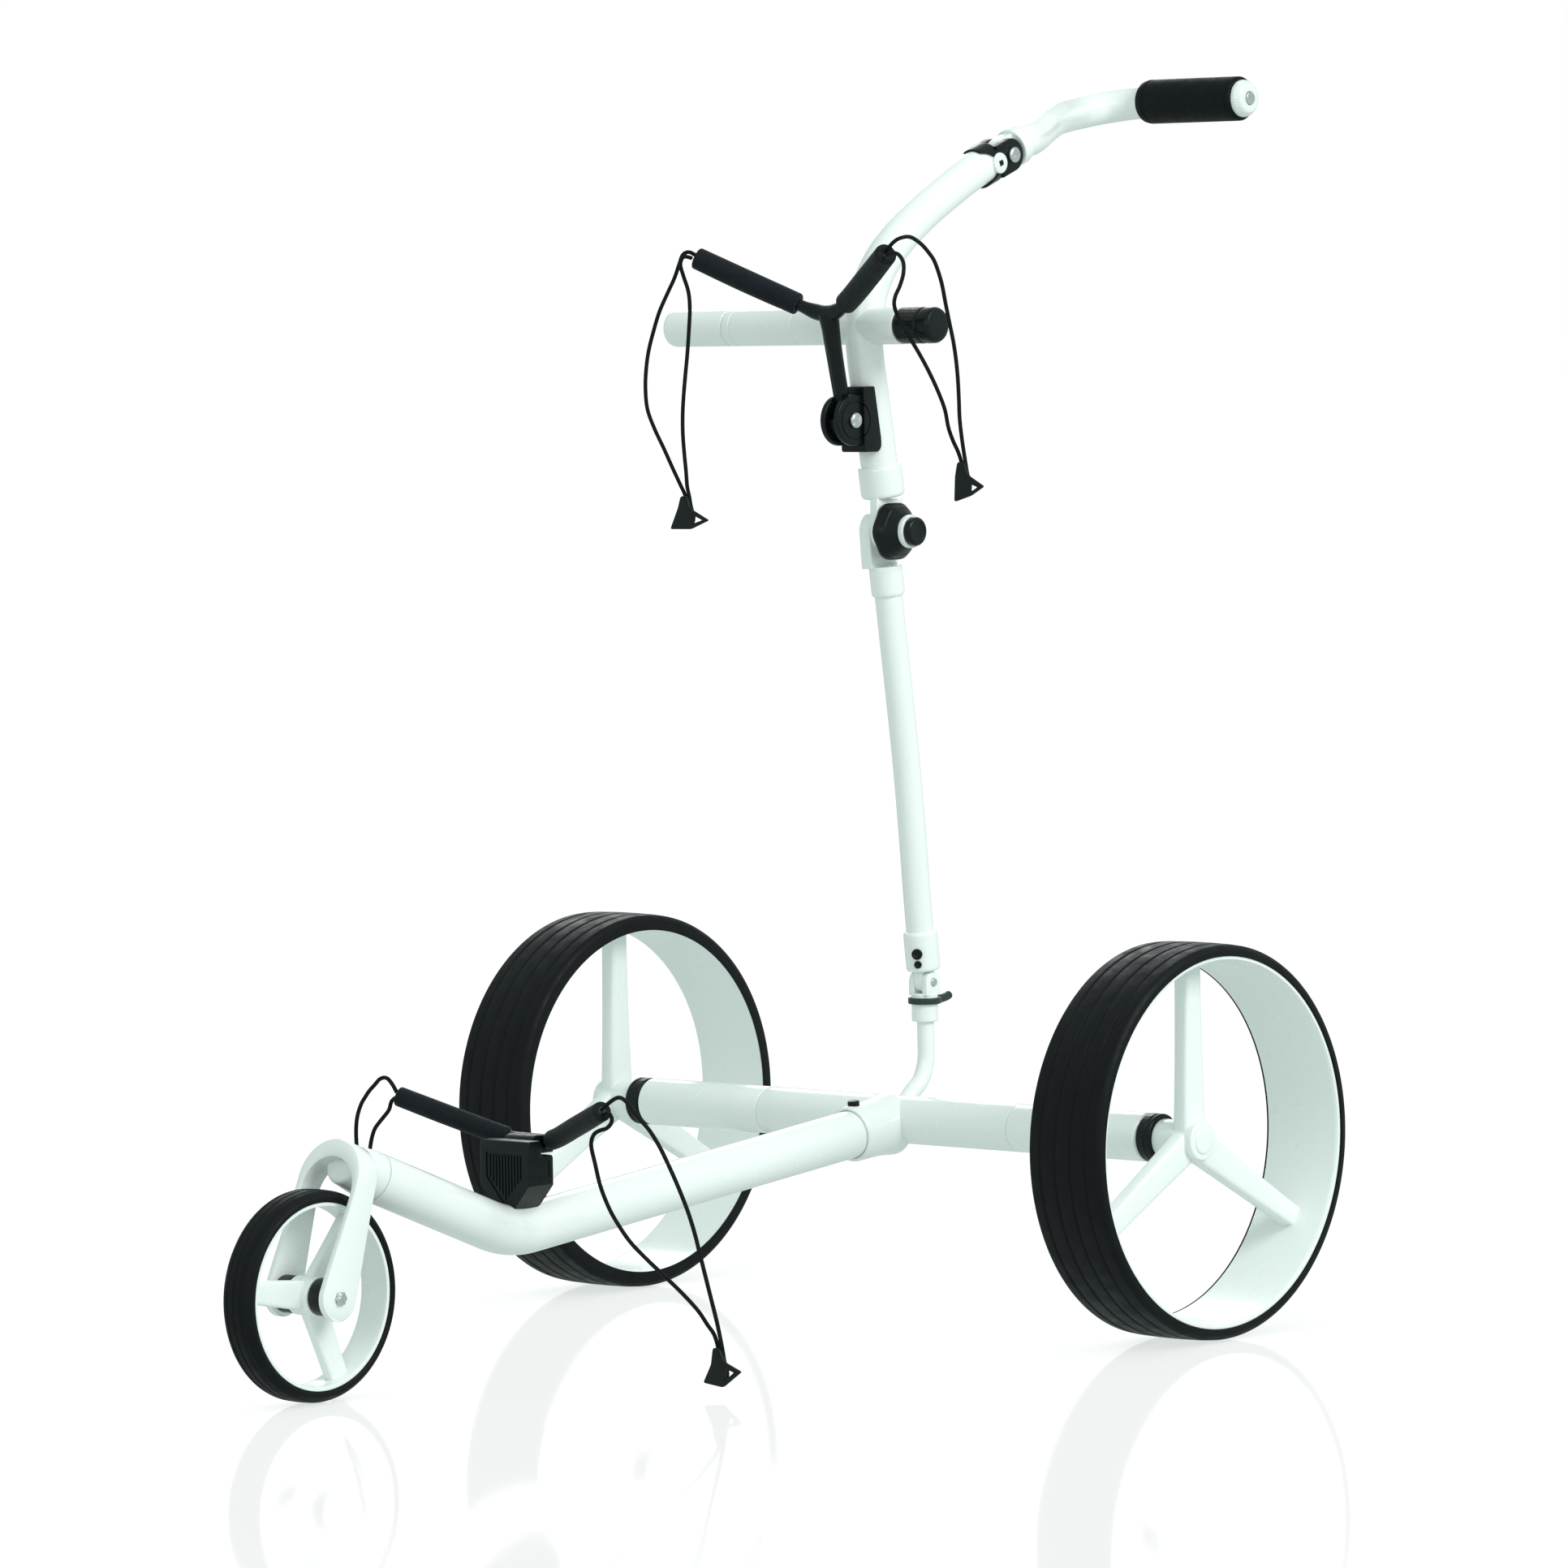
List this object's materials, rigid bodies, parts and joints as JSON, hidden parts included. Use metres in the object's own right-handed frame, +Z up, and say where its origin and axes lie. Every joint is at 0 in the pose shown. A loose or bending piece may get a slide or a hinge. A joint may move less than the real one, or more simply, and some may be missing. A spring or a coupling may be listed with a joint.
{
  "type": "electric golf trolley",
  "caption": "Electric golf trolley: motorised rear axle with wide wheels, front wheel in a fork, folding drawbar with padded bag brackets, elastic straps, knobs and a cross grip.",
  "frame": {"origin": "middle of the trolley's footprint box, on the ground under it", "axes": "+Z up, -Y the way the trolley rolls forward, +X to its left, along the rear axle"},
  "size_m": [0.6424, 1.0858, 0.9299],
  "materials": {
    "white_paint": "glossy white powder coat",
    "white_plastic": "glossy",
    "black_plastic": "satin",
    "black_rubber": "matte",
    "tyre_rubber": "matte",
    "screw_steel": "satin"
  },
  "bodies": {
    "chassis": {"axle_centre": "white_paint", "motor_housing_left": "white_paint", "motor_housing_right": "white_paint", "geared_motor_left": "screw_steel", "geared_motor_right": "screw_steel", "motor_controller": "black_plastic", "frame_socket": "white_paint", "main_tube": "white_paint", "front_fork": "white_paint", "front_axle": "screw_steel", "front_spacer_left": "black_plastic", "front_spacer_right": "black_plastic", "bracket_block": "black_plastic", "lower_yoke": "black_plastic", "lower_pad_left": "black_rubber", "lower_pad_right": "black_rubber", "drawbar_stub": "white_paint", "hinge_pin": "screw_steel", "lower_strap_left": "black_rubber", "lower_strap_right": "black_rubber", "lower_hook_left": "black_plastic", "lower_hook_right": "black_plastic"},
    "socket_button": {"socket_button": "black_plastic"},
    "left_wheel": {"rear_tyre_left": "tyre_rubber", "rear_rim_left": "white_plastic", "wheel_coupling_left": "black_plastic"},
    "right_wheel": {"rear_tyre_right": "tyre_rubber", "rear_rim_right": "white_plastic", "wheel_coupling_right": "black_plastic"},
    "front_wheel": {"front_tyre": "tyre_rubber", "front_rim": "white_plastic", "front_bush": "screw_steel"},
    "lower_shaft": {"lower_shaft_tube": "white_paint", "hinge_knuckle": "white_paint", "knuckle_plate": "black_plastic", "fold_disc_lower": "white_paint"},
    "lock_lever": {"lock_lever": "black_plastic"},
    "fold_knob": {"fold_knob": "black_plastic", "knob_collar": "screw_steel"},
    "upper_shaft": {"upper_shaft_tube": "white_paint", "fold_disc_upper": "white_paint", "crossbar_right": "white_paint", "crossbar_left": "white_paint", "bracket_clamp": "black_plastic", "tilt_screw": "screw_steel", "handle_socket": "black_plastic", "handle_pin": "screw_steel"},
    "crossbar_knob": {"crossbar_knob": "black_plastic"},
    "upper_bracket": {"upper_yoke": "black_plastic", "upper_pad_left": "black_rubber", "upper_pad_right": "black_rubber", "upper_strap_left": "black_rubber", "upper_strap_right": "black_rubber", "upper_hook_left": "black_plastic", "upper_hook_right": "black_plastic"},
    "handle": {"handle_tube": "white_paint", "handle_knuckle": "white_paint", "grip": "black_rubber"},
    "speed_dial": {"speed_dial": "white_plastic"},
    "start_button": {"start_button": "screw_steel"}
  },
  "joints": [
    {"name": "left_wheel_spin", "type": "hinge", "parent": "chassis", "child": "left_wheel", "pos_m": [0.287, 0.15165, 0.145], "axis": [1, 0, 0], "continuous": true},
    {"name": "right_wheel_spin", "type": "hinge", "parent": "chassis", "child": "right_wheel", "pos_m": [-0.287, 0.15165, 0.145], "axis": [1, 0, 0], "continuous": true},
    {"name": "front_wheel_spin", "type": "hinge", "parent": "chassis", "child": "front_wheel", "pos_m": [0, -0.46835, 0.0746], "axis": [1, 0, 0], "continuous": true},
    {"name": "socket_button_press", "type": "slide", "parent": "chassis", "child": "socket_button", "axis": [0, 0.1049, -0.9945], "range_m": [0, 0.003], "stiffness_N_per_m": 400, "springref_m": -0.002},
    {"name": "lower_fold", "type": "hinge", "parent": "chassis", "child": "lower_shaft", "pos_m": [0, 0.18865, 0.246], "axis": [1, 0, 0], "range_deg": [0, 70]},
    {"name": "lever_turn", "type": "hinge", "parent": "chassis", "child": "lock_lever", "pos_m": [0, 0.18865, 0.231], "axis": [0, 0, 1], "range_deg": [0, 60]},
    {"name": "upper_fold", "type": "hinge", "parent": "lower_shaft", "child": "upper_shaft", "pos_m": [0, 0.14965, 0.588], "axis": [-1, 0, 0], "range_deg": [0, 105]},
    {"name": "fold_knob_spin", "type": "hinge", "parent": "lower_shaft", "child": "fold_knob", "pos_m": [0.014, 0.14965, 0.588], "axis": [1, 0, 0], "range_deg": [0, 360]},
    {"name": "crossbar_knob_spin", "type": "hinge", "parent": "upper_shaft", "child": "crossbar_knob", "pos_m": [0.056, 0.13215, 0.742], "axis": [1, 0, 0], "range_deg": [0, 360]},
    {"name": "bracket_tilt", "type": "hinge", "parent": "upper_shaft", "child": "upper_bracket", "pos_m": [0, 0.10965, 0.672], "axis": [1, 0, 0], "range_deg": [0, 60]},
    {"name": "handle_tilt", "type": "hinge", "parent": "upper_shaft", "child": "handle", "pos_m": [0, 0.29115, 0.8695], "axis": [1, 0, 0], "range_deg": [-35, 25]},
    {"name": "speed_dial_turn", "type": "hinge", "parent": "handle", "child": "speed_dial", "pos_m": [0.0483, 0.52565, 0.9126], "axis": [1, 0, 0], "range_deg": [0, 270]},
    {"name": "start_button_press", "type": "slide", "parent": "handle", "child": "start_button", "axis": [-1, 0, 0], "range_m": [0, 0.0012], "stiffness_N_per_m": 500, "springref_m": -0.001}
  ]
}
